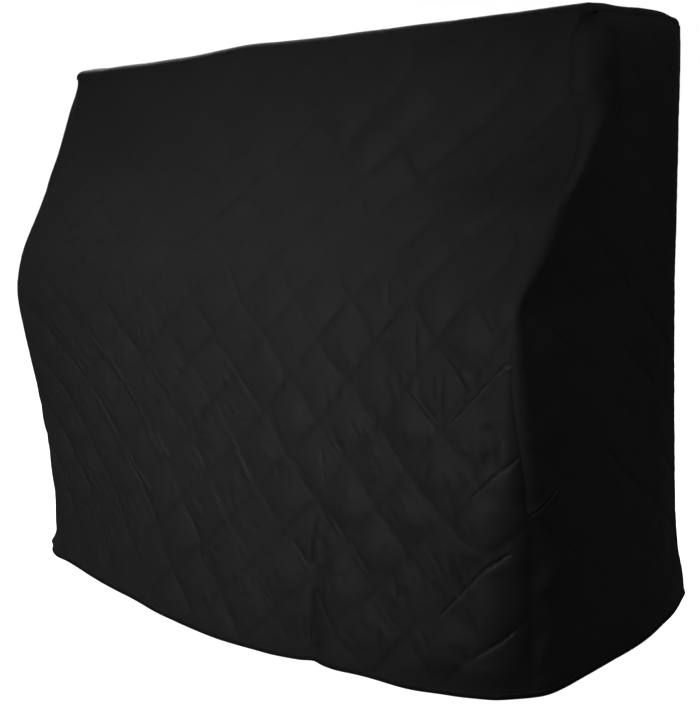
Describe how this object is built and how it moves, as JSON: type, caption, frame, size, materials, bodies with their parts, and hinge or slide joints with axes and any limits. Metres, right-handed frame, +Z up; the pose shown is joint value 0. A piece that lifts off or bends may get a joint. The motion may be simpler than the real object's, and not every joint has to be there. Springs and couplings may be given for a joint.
{
  "type": "quilted piano cover",
  "caption": "Fitted quilted cloth cover for an upright piano: a sloped front, ends, back and top sewn into one hollow shell, open at the hem.",
  "frame": {"origin": "centre of the underside of the top panel, where it lies on the piano's lid", "axes": "+X along the cover to the player's right, +Y from the front to the back, +Z up"},
  "size_m": [1.6201, 0.72, 1.2603],
  "materials": {
    "quilted_cloth": "black quilted cotton and polyester twill over thin wadding, matt with a faint sheen, sewn in diamonds",
    "binding_tape": "black woven binding tape, plain weave, a little smoother than the cloth"
  },
  "bodies": {
    "root": {"front_panel": "quilted_cloth", "top_panel": "quilted_cloth", "end_panel_left": "quilted_cloth", "end_panel_right": "quilted_cloth", "back_panel": "quilted_cloth", "hem_binding": "binding_tape"}
  },
  "joints": []
}
